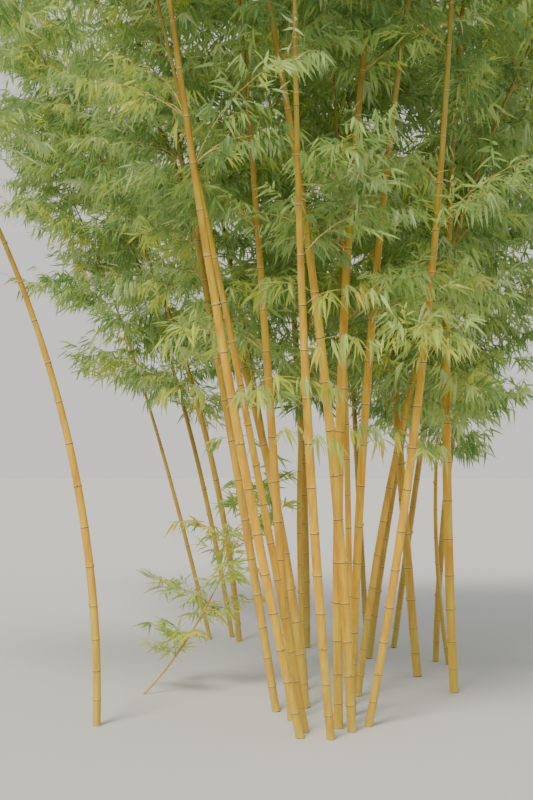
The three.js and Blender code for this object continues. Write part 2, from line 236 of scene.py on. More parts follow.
# The pale stops just above the scar are a painted highlight on the ridge; the faint pale stops below the next
# scar are the wax bloom
BANDS = ((0.0, "64441C", 0.95), (0.009, "64441C", 0.85), (0.016, "F6DE96", 0.26), (0.036, "F6DE96", 0.12),
         (0.055, "F6DE96", 0.0), (0.94, "EFE2B4", 0.0), (0.982, "EFE2B4", 0.06), (0.990, "64441C", 0.85))
fill_ramp(bands, BANDS)
skin = add_node(tree, "ShaderNodeMix", {"data_type": "RGBA"}, Factor=bands.outputs["Alpha"],
                _6=streaked.outputs[2], _7=bands.outputs["Color"])

# Fibres under the skin, about 4 mm apart, run along the culm and catch the light a little
FIBRE_MM = 4
FIBRE_WIDTH = 0.03  # as a share of its length
FIBRE_RELIEF = 0.0006
fibre_space = add_node(tree, "ShaderNodeMapping", Vector=place.outputs["Object"], Scale=(1, 1, FIBRE_WIDTH))
fibre = add_node(tree, "ShaderNodeTexNoise", Vector=fibre_space.outputs[0], Scale=1000 / FIBRE_MM, Detail=2.0)
relief = add_node(tree, "ShaderNodeBump", Height=fibre.outputs["Fac"], Strength=0.25,
                  Distance=FIBRE_RELIEF)
rough = add_node(tree, "ShaderNodeMapRange", Value=stain.outputs["Fac"], _1=0.3, _2=0.7, _3=0.50, _4=0.36)
shader = add_node(tree, "ShaderNodeBsdfPrincipled", Base_Color=skin.outputs[2], Roughness=rough.outputs[0],
                  Normal=relief.outputs[0], IOR=1.48)
tree.links.new(shader.outputs[0], output.inputs[0])
print("joint bands:", len(bands.color_ramp.elements), "stops")

# %% [markdown]
# ## Bark of the branches, and the leaves
#
# Branches are thin golden canes themselves, and the twigs on them are greener. A bamboo leaf is a soft, thin
# blade: it is matt, it lets light through, and its underside is paler. Neighbouring leaves of one spray share
# their age and so their colour. The leaves get a few plain colours, dealt out by spray, because at this
# distance a crown reads as many small leaves of slightly different greens, and not as a pattern on any leaf.

# %% Branch and leaf materials
def thin_cane_finish(name, green, straw, patch_mm, roughness):
    """The skin of a thin cane: green and straw in patches along it, with a faint grain."""
    material, tree, output = new_material(name)
    place = add_node(tree, "ShaderNodeTexCoord")
    patch = add_node(tree, "ShaderNodeTexNoise", Vector=place.outputs["Object"], Scale=1000 / patch_mm,
                     Detail=2.0)
    share = add_node(tree, "ShaderNodeMapRange", Value=patch.outputs["Fac"], _1=0.38, _2=0.62)
    colour = add_node(tree, "ShaderNodeMix", {"data_type": "RGBA"}, Factor=share.outputs[0],
                      _6=linear(green), _7=linear(straw))
    grain = add_node(tree, "ShaderNodeBump", Height=patch.outputs["Fac"], Strength=0.2, Distance=0.0004)
    shader = add_node(tree, "ShaderNodeBsdfPrincipled", Base_Color=colour.outputs[2], Roughness=roughness,
                      Normal=grain.outputs[0])
    tree.links.new(shader.outputs[0], output.inputs[0])
    return material


LEAF_ROUGHNESS = 0.42
LIGHT_THROUGH = 0.42  # the share of the light that a leaf lets through


def leaf_finish(name, colour, glow):
    """A thin leaf: a matt blade that lets a share of the light through, in a yellower green."""
    material, tree, output = new_material(name)
    blade = add_node(tree, "ShaderNodeBsdfPrincipled", Base_Color=linear(colour),
                     Roughness=LEAF_ROUGHNESS)
    through = add_node(tree, "ShaderNodeBsdfTranslucent", Color=linear(glow))
    both = add_node(tree, "ShaderNodeMixShader", Fac=LIGHT_THROUGH,
                    _1=blade.outputs[0], _2=through.outputs[0])
    tree.links.new(both.outputs[0], output.inputs[0])
    return material


branch_cane = thin_cane_finish("golden_branch_cane", "B2A758", "D2B466", 90, 0.45)
green_twig = thin_cane_finish("olive_green_twig", "98A052", "BCAE6A", 120, 0.6)
LEAF_COLOURS = [  # name, colour of the blade, and colour of the light that comes through it
    ("leaf_fresh_green", "A6C172", "D4E68C"),
    ("leaf_mid_green", "82A25C", "C0D884"),
    ("leaf_deep_green", "60884E", "A4C474"),
    ("leaf_grey_underside", "AEC48C", "CCDCA4"),
    ("leaf_lime", "BCCB5C", "E0EA78"),
    ("leaf_ripe_yellow", "D2C258", "E8DA70"),
]
leaf_materials = [leaf_finish(*row) for row in LEAF_COLOURS]
print(len(leaf_materials), "leaf colours")

# %% [markdown]
# ## Where the culms stand
#
# Each culm follows one leaning curve, the same as in the solid that it covers: four corner points draw it, it
# bows sideways a little, and its thin tip nods out. The plan has the clump's driving sizes, in metres: foot,
# diameter, height, lean of the tip, and bow. Then come the culm's tint, from 0 for fresh gold to 1 for dull
# olive brown, and the height of its first leafy branch.

# %% Culm plan
CULMS = {
    "culm_01": ((-1.42, 0.07), 0.046, 5.6, (-2.17, -0.2), 0.57, 0.1, 3.1),
    "culm_02": ((-0.92, 3.4), 0.035, 5.0, (-1.56, 0.85), 0.07, 0.62, 1.9),
    "culm_03": ((-0.73, 3.55), 0.042, 6.4, (-2.15, 1.3), 0.26, 0.58, 2.0),
    "culm_04": ((-0.66, 3.3), 0.05, 7.0, (-2.8, 0.25), 0.55, 0.5, 2.1),
    "culm_05": ((-0.36, 0.45), 0.051, 7.2, (-1.19, 0.25), 0.0, 0.34, 2.3),
    "culm_06": ((-0.23, -0.24), 0.049, 7.8, (-0.9, -0.9), -0.22, 0.0, 2.6),
    "culm_07": ((-0.195, -0.1), 0.041, 6.4, (-1.19, -0.55), 0.0, 0.12, 2.2),
    "culm_08": ((-0.27, 0.21), 0.05, 7.4, (-0.4, -0.3), -0.03, 0.18, 2.2),
    "culm_09": ((-0.19, 1.4), 0.043, 6.6, (-1.2, 0.6), 0.08, 0.5, 1.9),
    "culm_10": ((-0.17, 0.56), 0.051, 6.8, (-2.45, 0.9), 0.45, 0.34, 2.0),
    "culm_11": ((-0.15, 1.12), 0.035, 5.2, (0.4, 0.5), -0.19, 0.45, 1.9),
    "culm_12": ((-0.08, 2.96), 0.064, 7.2, (-0.55, 0.8), 0.14, 0.55, 1.9),
    "culm_13": ((-0.06, -0.27), 0.049, 6.4, (-0.14, -0.9), -0.12, 0.08, 2.3),
    "culm_14": ((0.0, 0.0), 0.054, 8.0, (0.63, -0.3), -0.19, 0.0, 2.4),
    "culm_15": ((0.07, -0.085), 0.053, 7.6, (-1.2, -0.75), 0.21, 0.04, 2.4),
    "culm_16": ((0.105, 0.34), 0.048, 8.0, (0.88, -1.0), -0.19, 0.04, 2.2),
    "culm_17": ((0.19, 0.92), 0.044, 6.8, (2.3, 0.45), -0.37, 0.3, 1.8),
    "culm_18": ((0.18, 0.05), 0.047, 7.6, (0.29, -0.7), 0.28, 0.05, 2.1),
    "culm_19": ((0.4, 2.41), 0.049, 6.6, (1.7, 0.8), -0.19, 0.5, 1.8),
    "culm_20": ((0.66, 2.96), 0.05, 7.0, (1.3, 0.9), -0.05, 0.55, 1.7),
    "culm_21": ((0.68, 1.63), 0.062, 7.4, (-0.23, 0.7), -0.07, 0.4, 1.9),
    "culm_22": ((0.85, 1.05), 0.06, 7.6, (0.25, -0.1), -0.14, 0.1, 1.8),
    "culm_23": ((0.91, 2.27), 0.048, 7.0, (1.7, 0.9), -0.32, 0.5, 1.7),
    "culm_24": ((0.985, 2.13), 0.03, 4.4, (0.46, 0.1), -0.27, 0.45, 1.5),
    "culm_25": ((0.12, 0.62), 0.038, 6.3, (-0.1, 0.42), 0.02, 0.2, 2.2),
    "culm_26": ((0.42, 2.8), 0.044, 6.6, (-0.18, 0.62), -0.03, 0.6, 1.9),
    "shoot_low_left": ((-1.24, 0.99), 0.014, 1.4, (0.48, 0.25), 0.22, 0.6, 0.2),
}
NOD = 0.35  # how far the tip nods out past its lean
SHOULDER = 0.12  # how far that lifts the culm's upper half
TIP_SHARE = 0.07  # the tip's radius as a share of the foot's
TAPER_POWER = 1.25  # above 1, a culm thins late
SWELL = 0.2  # above its foot, as a share of its radius
SWELL_ENDS = 0.5  # as a share of the curve
CURVE_POINTS = 400
LOOK_ASIDE = 0.004  # the step to both sides that gives its direction
UP = np.array((0.0, 0.0, 1.0))
print(len(CULMS), "culms in the plan, up to", max(row[2] for row in CULMS.values()), "m high")

# %% The curve of a culm
def unit(vectors):
    """Vectors scaled to length one. A vector of no length stays as it is."""
    return vectors / np.maximum(np.linalg.norm(vectors, axis=-1, keepdims=True), 1e-9)


class Culm:
    """A culm's curve, which gives its place, direction and radius at any length along it."""

    def __init__(self, name):
        foot, diameter, height, lean, bow, self.tint, self.clear = CULMS[name]
        self.name = name
        self.foot_radius = diameter / 2
        foot, lean = np.array(foot), np.array(lean)
        swing = np.array((bow * 4 / 3, 0.0))
        nod = lean / np.linalg.norm(lean) * NOD
        corners = ((foot, 0), (foot + lean / 3 + swing, height / 3),
                   (foot + lean * 2 / 3 + swing, height * 2 / 3 + SHOULDER), (foot + lean + nod, height))
        self.corners = np.array([(*plan, z) for plan, z in corners])
        self.shares = np.linspace(0, 1, CURVE_POINTS)
        self.line = self.at_share(self.shares)
        steps = np.linalg.norm(np.diff(self.line, axis=0), axis=1)
        self.lengths = np.concatenate(((0.0,), np.cumsum(steps)))
        self.length = self.lengths[-1]
        self.across = unit(np.cross(self.corners[3] - self.corners[0], UP))

    def at_share(self, t):
        """Places at shares of the curve, by its four corners."""
        t = np.asarray(t)[..., None]
        a, b, c, d = self.corners
        return a * (1 - t) ** 3 + 3 * b * t * (1 - t) ** 2 + 3 * c * t * t * (1 - t) + d * t ** 3

    def at(self, length):
        """Place, direction and radius at a length along the culm."""
        t = np.interp(length, self.lengths, self.shares)
        place = self.at_share(t)
        ahead, behind = np.minimum(t + LOOK_ASIDE, 1), np.maximum(t - LOOK_ASIDE, 0)
        return place, unit(self.at_share(ahead) - self.at_share(behind)), self.radius_at(t)

    def radius_at(self, t):
        """A culm swells a little above its foot and then thins to its tip."""
        swell = 1 + SWELL * np.sin(np.pi * np.minimum(t / SWELL_ENDS, 1))
        return self.foot_radius * swell * (1 - (1 - TIP_SHARE) * t ** TAPER_POWER)


def total(kind):
    """How many branches or twigs all culms have."""
    return sum(len(getattr(culm, kind)[0]) for culm in culms.values())


culms = {name: Culm(name) for name in CULMS}
print(len(culms), "culms, the longest", round(max(c.length for c in culms.values()), 2), "m along its curve")

# %% [markdown]
# ## One stretch of culm, from joint to joint
#
# A culm repeats one form: a thin scar, a groove, a swollen ridge, and a smooth round tube up to the next
# scar. So one stretch is modelled and then copied. It starts as a circle of fourteen points, which is
# extruded upwards ring by ring and scaled at each ring.

# %% Model one stretch
STRETCH = 0.200  # the modelled stretch's length
STRETCH_RADIUS = 0.025
SIDES = 14
SCAR = 1.065  # the lip of the scar, as a share of the tube's radius
RINGS = [  # height above the scar in metres, and the ring's radius as a share of the tube's
    (0.0000, SCAR), (0.0016, 1.025), (0.0065, 1.062), (0.0140, 1.018),
    (0.0320, 1.000), (0.1100, 0.994), (0.1850, 1.000), (0.1970, 1.014), (STRETCH, SCAR),
]
bpy.ops.mesh.primitive_circle_add(vertices=SIDES, radius=STRETCH_RADIUS * RINGS[0][1], location=(0, 0, 0))
stretch = bpy.context.object
stretch.name = "stretch_pattern"
bpy.ops.object.mode_set(mode="EDIT")
bpy.ops.mesh.select_all(action="SELECT")
for (low, low_share), (high, high_share) in zip(RINGS, RINGS[1:]):
    bpy.ops.mesh.extrude_region_move(TRANSFORM_OT_translate={"value": (0, 0, high - low)})
    bpy.ops.transform.resize(value=(high_share / low_share, high_share / low_share, 1))
bpy.ops.object.mode_set(mode="OBJECT")
pattern = np.array([v.co for v in stretch.data.vertices]).reshape(len(RINGS), SIDES, 3)
bpy.data.objects.remove(stretch)
print("one stretch has", pattern.shape[0], "rings of", pattern.shape[1], "points")

# %% [markdown]
# ## From one stretch to whole culms
#
# Joints stand closest at the foot, about fifteen centimetres apart, and up to thirty apart higher up. Each
# copy of the stretch is drawn out to the length between its two joints, but its ridge and scar keep their
# real height, because only its smooth middle is stretched. The copies are laid along the culm's curve and
# share the ring where they meet, so a culm is one closed skin.
#
# Above the first branch, the tube has a shallow groove where a branch lay against it as it grew.

# %% Joints along a culm
LONGEST_STRETCH = 0.30  # on a culm of the usual thickness
USUAL_RADIUS = 0.026
THICKNESS_POWER = 0.35  # a thicker culm has longer stretches
FOOT_SHORTER = 0.62  # how much shorter the stretches are at the foot
FOOT_JOINTS = 5.0  # over how many joints that wears off
TIP_SHORTER = 0.55
STRETCH_VARIES = (0.94, 1.06)
LAST_STRETCH = 0.05
TURN = math.radians(137.5)  # from one joint's branches to the next, round the culm


def joint_lengths(culm, rng):
    """How far along the culm each joint lies, from the foot up."""
    lengths = [0.0]
    longest = LONGEST_STRETCH * (culm.foot_radius / USUAL_RADIUS) ** THICKNESS_POWER
    while True:
        low_down = 1 - FOOT_SHORTER * math.exp(-len(lengths) / FOOT_JOINTS)
        high_up = 1 - TIP_SHORTER * (lengths[-1] / culm.length) ** 2
        step = longest * low_down * high_up * rng.uniform(*STRETCH_VARIES)
        if lengths[-1] + step > culm.length - LAST_STRETCH:
            return np.array(lengths + [culm.length])
        lengths.append(lengths[-1] + step)


for number, culm in enumerate(culms.values()):
    rng = np.random.default_rng(100 + number)
    culm.joints = joint_lengths(culm, rng)
    culm.azimuths = rng.uniform(0, 2 * math.pi) + TURN * np.arange(len(culm.joints))
print("joints on the main culm:", len(culms["culm_14"].joints))

# %% [markdown]
# ## A mesh in one go
#
# Copies could be placed one object at a time and joined, but thousands of them take minutes. So they are
# worked out as arrays of points and faces, and each piece is made in one go.

# %% Meshes from arrays
def mesh_from_arrays(name, points, faces, materials, material_of_face=None, smooth=True):
    """A mesh object at the origin, from an array of points and one or more arrays of faces."""
    faces = [f for f in faces if len(f)]
    corners = np.concatenate([f.ravel() for f in faces]).astype(np.int32)
    sizes = np.concatenate([np.full(len(f), f.shape[1]) for f in faces])
    mesh = bpy.data.meshes.new(name)
    mesh.vertices.add(len(points))
    mesh.vertices.foreach_set("co", np.asarray(points, dtype=np.float32).ravel())
    mesh.loops.add(len(corners))
    mesh.loops.foreach_set("vertex_index", corners)
    mesh.polygons.add(len(sizes))
    starts = np.concatenate(((0,), np.cumsum(sizes)[:-1])).astype(np.int32)
    mesh.polygons.foreach_set("loop_start", starts)
    for material in materials:
        mesh.materials.append(material)
    if material_of_face is not None:
        mesh.polygons.foreach_set("material_index", material_of_face.astype(np.int32))
    mesh.polygons.foreach_set("use_smooth", np.full(len(sizes), smooth))
    mesh.update(calc_edges=True)
    piece = bpy.data.objects.new(name, mesh)
    bpy.context.collection.objects.link(piece)
    return piece


def triangles(piece):
    """How many triangles a piece has, as a face of n corners makes n - 2."""
    return sum(len(face.vertices) - 2 for face in piece.data.polygons)


def side_quads(rings, sides):
    """Quads that join each ring of points to the next, and the ring and side of each."""
    ring, side = np.meshgrid(np.arange(rings - 1), np.arange(sides), indexing="ij")
    here, beside = ring * sides + side, ring * sides + (side + 1) % sides
    return np.stack((here, beside, beside + sides, here + sides), axis=-1).reshape(-1, 4), ring, side


print("a stretch of culm makes", len(side_quads(len(RINGS), SIDES)[0]), "faces")

# %% Lay the stretches along a culm
RIDGE_END = 0.032  # below this height the pattern keeps its size
SCAR_START = 0.015  # and above this depth from its top
SHORTEST_FULL = 0.055  # a stretch shorter than this gets smaller ends
GROOVE_DEPTH = 0.09  # as a share of the radius
GROOVE_WIDTH = 0.38  # in radians
GROOVE_RING = 3  # the lowest ring that has it
RING_STEP = 0.0004  # the least height from ring to ring at a foot


def draw_out(heights, length, radius):
    """The pattern's ring heights, drawn out to a stretch's length, but not at its ends."""
    size = min(radius / STRETCH_RADIUS, length / SHORTEST_FULL)
    low, high = RIDGE_END * size, SCAR_START * size
    from_middle = (heights - RIDGE_END) / (STRETCH - RIDGE_END - SCAR_START)
    middle = low + from_middle * (length - low - high)
    return np.where(heights <= RIDGE_END, heights * size,
                    np.where(heights >= STRETCH - SCAR_START, length - (STRETCH - heights) * size, middle))


def groove(culm, k, length, ring):
    """The factor that draws a ring's points in, on the side of the branches at the joint below."""
    if ring < GROOVE_RING or culm.at(length)[0][2] < culm.clear:
        return 1.0
    angles = np.arctan2(pattern[ring, :, 1], pattern[ring, :, 0])[:, None]
    aside = np.angle(np.exp(1j * (angles - culm.azimuths[k])))
    return 1 - GROOVE_DEPTH * np.exp(-(aside / GROOVE_WIDTH) ** 2)


def culm_skin(culm):
    """The rings of a culm's skin, and how many joints lie below each."""
    along, shares, count = [], [], []
    for k, (low, high) in enumerate(zip(culm.joints, culm.joints[1:])):
        radius = culm.at(low)[2]
        rings = draw_out(pattern[:-1, 0, 2], high - low, radius)
        for ring, z in enumerate(rings):
            along.append(low + z)
            count.append(k + z / (high - low))
            shares.append(pattern[ring, :, :2] / STRETCH_RADIUS * groove(culm, k, low + z, ring))
    along.append(culm.joints[-1])
    count.append(len(culm.joints) - 1.0)
    shares.append(pattern[-1, :, :2] / STRETCH_RADIUS)
    place, towards, radius = culm.at(np.array(along))
    inward = unit(np.cross(culm.across, towards))
    shares = np.array(shares)
    points = (place[:, None] + culm.across * shares[..., :1] * radius[:, None, None]
              - inward[:, None] * shares[..., 1:] * radius[:, None, None])
    # The foot of a leaning culm is cut level with the ground, and no ring dips below the one under it
    points[..., 2] = np.maximum(points[..., 2], RING_STEP * np.arange(len(along))[:, None])
    points[0, :, 2] = 0
    return points, np.array(count)


points, count = culm_skin(culms["culm_14"])
print("the main culm's skin has", points.shape[0], "rings")

# %% [markdown]
# ## Joining culms
#
# Two pieces hold all culms, the nearer ones and those further back. Quads join each ring to the next, and a
# fan of triangles closes foot and tip. The map runs once round the culm in U and counts joints in V. A cap
# has one place on it, half way between two joints, so no band falls there.

# %% Join culms into pieces
FRONT_UP_TO = 0.6  # culms with their feet further back are the back


def culm_piece(name, names):
    """One mesh of several culms, with the map that counts joints and each culm's tint."""
    all_points, sides, caps, maps, cap_maps, tints = [], [], [], [], [], []
    start = 0
    for culm in (culms[n] for n in names):
        points, count = culm_skin(culm)
        rings = len(points)
        ends = np.array((points[0].mean(axis=0), points[-1].mean(axis=0)))
        all_points.append(np.concatenate((points.reshape(-1, 3), ends)))
        quads, ring, side = side_quads(rings, SIDES)
        sides.append(quads + start)
        u = np.stack((side, side + 1, side + 1, side), axis=-1) / SIDES
        v = np.stack((count[ring], count[ring], count[ring + 1], count[ring + 1]), axis=-1)
        maps.append(np.stack((u, v), axis=-1).reshape(-1, 2))
        turn = np.arange(SIDES)
        top = (rings - 1) * SIDES
        foot_cap = np.stack((turn * 0 + rings * SIDES, (turn + 1) % SIDES, turn), axis=-1)
        tip_cap = np.stack((turn * 0 + rings * SIDES + 1, top + turn, top + (turn + 1) % SIDES), axis=-1)
        caps += [foot_cap + start, tip_cap + start]
        cap_maps.append(np.full((6 * SIDES, 2), 0.5))
        tints.append(np.full(rings * SIDES + 2, culm.tint))
        start += rings * SIDES + 2
    faces = [np.concatenate(sides), np.concatenate(caps)]
    piece = mesh_from_arrays(name, np.concatenate(all_points), faces, [cane])
    layer = piece.data.uv_layers.new(name="joints")
    layer.data.foreach_set("uv", np.concatenate(maps + cap_maps).astype(np.float32).ravel())
    attribute = piece.data.attributes.new("tint", "FLOAT", "POINT")
    attribute.data.foreach_set("value", np.concatenate(tints).astype(np.float32))
    return piece


def belongs(piece, slot, *nodes):
    """The piece rides on the clump's one body and stands for solids. The slot is not used."""
    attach(piece, "root")
    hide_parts(*nodes)
    print(piece.name, "has", triangles(piece), "triangles and stands for", len(nodes), "solids")


FRONT = [name for name, culm in culms.items() if culm.corners[0][1] < FRONT_UP_TO]
BACK = [name for name in culms if name not in FRONT]
for title, names in (("front", FRONT), ("back", BACK)):
    belongs(culm_piece("culms_" + title, names), "culm", *names)

# %% [markdown]
# ## Branches
#
# At each joint above the bare stretch, bamboo sends out two unequal branches with a small third between them.
# They rise at about fifty degrees, arch over and end nearly level under the weight of their leaves. From
# joint to joint they turn round the culm by the golden angle, so the crown is full from all sides. Branches
# are longest a little below the middle of the crown and shorten to the tip. They could be grown one by one,
# as curves with a bevel. Here they are arrays of bases, middles and ends, which is fast enough for thousands.

# %% Branch rule
LONGEST_BRANCH = 1.42
FULL_HEIGHT = 5.0  # a culm lower than this has shorter branches
LEAST_FULL = 0.36  # but at least this share of the longest
LOW_SHARE, GAIN, LOSS, LEAST_SHARE = 0.50, 1.55, 1.80, 0.40  # how their length changes up the crown
BRANCH_VARIES = (0.72, 1.08)
PARTINGS = ((-0.42, 1.0), (0.42, 0.70), (0.0, 0.42))  # a branch's turn aside, and its share of the length
STRAY = 0.22  # how much the turn varies
BRANCH_RISE = math.radians(50)
LOW_RISE, RISE_GAIN = 0.9, 0.45  # as shares of that rise, which gets steeper to the tip
RISE_VARIES = 0.12
END_RISE = 0.45  # the share of its rise that is left at a branch's end
BEND_AT = 0.55  # as a share of a branch's length
ROOT_AT = 0.6  # a branch starts inside its culm, at this share of the radius
ROOT_RISE = 0.2
BRANCH_SHARE = 0.2  # its radius at its base, as a share of the culm's
THINNEST, THICKEST = 0.0026, 0.0044
OPEN_FRONT = ["culm_%02d" % number for number in (6, 7, 8, 13, 14, 15, 16, 18, 22, 25)]
OPEN_CHANCE = 0.30  # how many low joints of these culms have branches
OPEN_UP_TO = 3.6  # higher up more and more of them do
OPEN_FADES = 1.6  # until this much higher all do


def directions(azimuth, elevation):
    """Unit vectors from arrays of angles in radians."""
    azimuth, elevation = np.broadcast_arrays(azimuth, elevation)
    level = np.cos(elevation)
    return np.stack((np.cos(azimuth) * level, np.sin(azimuth) * level, np.sin(elevation)), axis=-1)


def arch(base, middle, end, shares):
    """Points at the shares along bent lines: arrays of bases, middles and ends."""
    t = np.asarray(shares)[None, :, None]
    return base[:, None] * (1 - t) ** 2 + 2 * middle[:, None] * t * (1 - t) + end[:, None] * t * t


def joined(rows):
    """Rows of arrays, joined end to end column by column."""
    return [np.concatenate(column) for column in zip(*rows)]


print(len(PARTINGS), "branches at a joint, up to", LONGEST_BRANCH * max(BRANCH_VARIES), "m long")

# %% Grow branches
def bent(place, radius, turned, rises, length):
    """Base, middle and end of branches that start inside their culm, rise, and arch over."""
    root, middle, end = (directions(turned, rise) for rise in rises)
    base = place + root * radius * ROOT_AT
    return base, base + middle * length * BEND_AT, base + end * length


def grow_branches(culm, rng):
    """Bases, middles, ends, thicknesses and azimuths of a culm's branches."""
    place, _, radius = culm.at(culm.joints[1:-1])
    filled = np.clip((place[:, 2] - OPEN_UP_TO) / OPEN_FADES, 0, 1)
    chance = OPEN_CHANCE + (1 - OPEN_CHANCE) * filled if culm.name in OPEN_FRONT else 1.0
    leafy = (place[:, 2] > culm.clear) & (rng.uniform(0, 1, len(place)) < chance)
    place, radius = place[leafy], radius[leafy]
    azimuths = culm.azimuths[1:-1][leafy]
    top = culm.corners[3][2]
    up = (place[:, 2] - culm.clear) / max(top - culm.clear, 0.1)
    full = LONGEST_BRANCH * min(1.0, max(LEAST_FULL, top / FULL_HEIGHT))
    reach = full * (LOW_SHARE + GAIN * up - LOSS * up ** 2).clip(LEAST_SHARE)
    parts = []
    for side, share in PARTINGS:
        turned = azimuths + side + rng.normal(0, STRAY, len(place))
        length = reach * share * rng.uniform(*BRANCH_VARIES, len(place))
        rise = BRANCH_RISE * (LOW_RISE + RISE_GAIN * up) + rng.normal(0, RISE_VARIES, len(place))
        rises = (ROOT_RISE, rise, rise * END_RISE)
        thickness = np.clip(radius * BRANCH_SHARE, THINNEST, THICKEST) * (0.7 + 0.3 * share)
        parts.append((*bent(place, radius[:, None], turned, rises, length[:, None]), thickness, turned))
    return joined(parts)


for number, culm in enumerate(culms.values()):
    culm.branches = grow_branches(culm, np.random.default_rng(500 + number))
print("branches:", total("branches"))

# %% [markdown]
# ## Lone branches
#
# A few single leafy branches hang low, before the bare culms. Chance wouldn't put them where the real plant
# has them, so they are listed one by one, each placed at the joint nearest to its height.

# %% Place the lone branches
CROWN, SPRIG, SHOOT = 0, 1, 2  # kinds of growth: the crown, lone branches, and the young low shoot
SPRIGS = {  # height, azimuth in degrees and length
    "culm_05": [(1.95, 190, 0.34)],
    "culm_06": [(1.88, -6, 0.50), (2.02, -30, 0.24)],
    "culm_07": [(2.30, 175, 0.34)],
    "culm_08": [(1.64, -15, 0.15)],
    "culm_10": [(1.60, 160, 0.30)],
    "culm_13": [(2.26, -8, 0.32), (2.50, 4, 0.38), (1.68, -10, 0.13)],
    "culm_14": [(1.70, -12, 0.16), (2.62, -25, 0.34)],
    "culm_15": [(2.42, 160, 0.30)],
    "culm_16": [(1.66, -6, 0.30), (2.72, -8, 0.32)],
    "culm_17": [(1.62, 25, 0.30)],
    "culm_18": [(1.62, 5, 0.12), (2.36, -70, 0.14)],
    "culm_22": [(2.15, -20, 0.26), (2.70, 170, 0.30)],
}
SPRIG_RISES = (0.3, 0.75, 0.12)  # in radians, at its root, to its bend and to its end


def sprigs(culm):
    """The lone branches of a culm, in the same columns."""
    rows = []
    for height, azimuth, length in SPRIGS.get(culm.name, ()):
        places, _, radius = culm.at(culm.joints)
        nearest = np.argmin(np.abs(places[:, 2] - height))
        turned = math.radians(azimuth)
        line = bent(places[nearest], radius[nearest], turned, SPRIG_RISES, length)
        rows.append((*line, THINNEST, turned))
    shapes = ((-1, 3), (-1, 3), (-1, 3), (-1,), (-1,))
    return [np.array(c).reshape(shape) for c, shape in zip(zip(*rows) if rows else [()] * 5, shapes)]


for culm in culms.values():
    grown, lone = culm.branches, sprigs(culm)
    growth = [SHOOT if culm.name == "shoot_low_left" else CROWN] * len(grown[0]) + [SPRIG] * len(lone[0])
    culm.branches = joined((grown, lone)) + [np.array(growth, dtype=int)]
print("with the lone ones:", total("branches"))

# %% [markdown]
# ## Room between branches and culms
#
# A real branch bends round a culm that stands in its way. Here a branch that would run into another culm is
# left out, as in the solids, because there are more than enough.

# %% Leave out what would touch a culm
CULM_GAP = 0.032


def clear_of_culms(points, own):
    """For each line of points, whether it keeps off every culm but its own."""
    keep = np.ones(len(points), bool)
    for culm in culms.values():
        if culm is own:
            continue
        line = culm.line[::8]
        radius = culm.radius_at(culm.shares[::8])
        far = np.linalg.norm(points[:, :, None] - line[None, None], axis=-1) - radius
        keep &= far.min(axis=(1, 2)) >= CULM_GAP
    return keep


for culm in culms.values():
    path = arch(*culm.branches[:3], np.linspace(0.1, 1, 9))
    keep = clear_of_culms(path, culm)
    culm.branches = [column[keep] for column in culm.branches]
print("branches that stay:", total("branches"))

# %% [markdown]
# ## Sleeping buds
#
# Each bare joint keeps one sleeping bud, on the side where a branch would have grown: a small pointed cone,
# about two centimetres long, that lies against the culm just above the scar.
#
# Buds, branches and twigs are all tapering tubes with closed ends, so one function makes them all, from a
# line of places and radii for each. A bud has three rings, each with its height above the scar, its distance
# off the skin, and its radius.

# %% Buds on the bare joints
BUD_SIDES = 5
BUD_RINGS = np.array(((0.003, -0.001, 0.0042), (0.012, 0.0032, 0.0044), (0.023, 0.0012, 0.0006)))
BUD_SEAT = 1.04  # as a share of the culm's radius
BUDS_FROM = 0.1


def tubes(path, radius, sides):
    """Points and faces of one tapering closed tube along each line of points."""
    count, rings = path.shape[:2]
    towards = unit(np.gradient(path, axis=1))
    across = unit(np.cross(towards, UP + 1e-3))  # a little off, as some tubes are upright
    upward = np.cross(across, towards)
    angle = np.arange(sides) * 2 * math.pi / sides
    spoke = across[:, :, None] * np.cos(angle)[:, None] + upward[:, :, None] * np.sin(angle)[:, None]
    points = path[:, :, None] + spoke * radius[:, :, None, None]
    quads = side_quads(rings, sides)[0][:, [0, 3, 2, 1]]  # the other way round, as these rings are
    foot = np.arange(sides)[None]
    head = (rings * sides - 1 - np.arange(sides))[None]
    offsets = (np.arange(count) * rings * sides)[:, None, None]
    faces = [(part + offsets).reshape(-1, part.shape[1]) for part in (quads, foot, head)]
    return points.reshape(-1, 3), faces


def buds(names):
    """The three points and radii of each bud on these culms."""
    paths = []
    for culm in (culms[n] for n in names):
        place, towards, radius = culm.at(culm.joints[1:-1])
        out = directions(culm.azimuths[1:-1], 0.0)
        off = radius[:, None] * BUD_SEAT + BUD_RINGS[:, 1]
        path = place[:, None] + out[:, None] * off[..., None] + towards[:, None] * BUD_RINGS[:, :1]
        paths.append(path[(place[:, 2] < culm.clear) & (place[:, 2] > BUDS_FROM)])
    paths = np.concatenate(paths)
    return paths, np.broadcast_to(BUD_RINGS[:, 2], paths.shape[:2])


for title, names in (("front", FRONT), ("back", BACK)):
    piece = mesh_from_arrays("buds_" + title, *tubes(*buds(names), BUD_SIDES), [branch_cane])
    belongs(piece, "culm", *names)

# %% [markdown]
# ## Twigs
#
# A branch has joints of its own, and a leafy twig leaves each of them, left and right in turn, with one more
# at the branch's end. A twig is nearly straight, and the twigs nearest to the culm are the longest. Twigs
# that would leave the clump's reach are skipped, as in the solids.

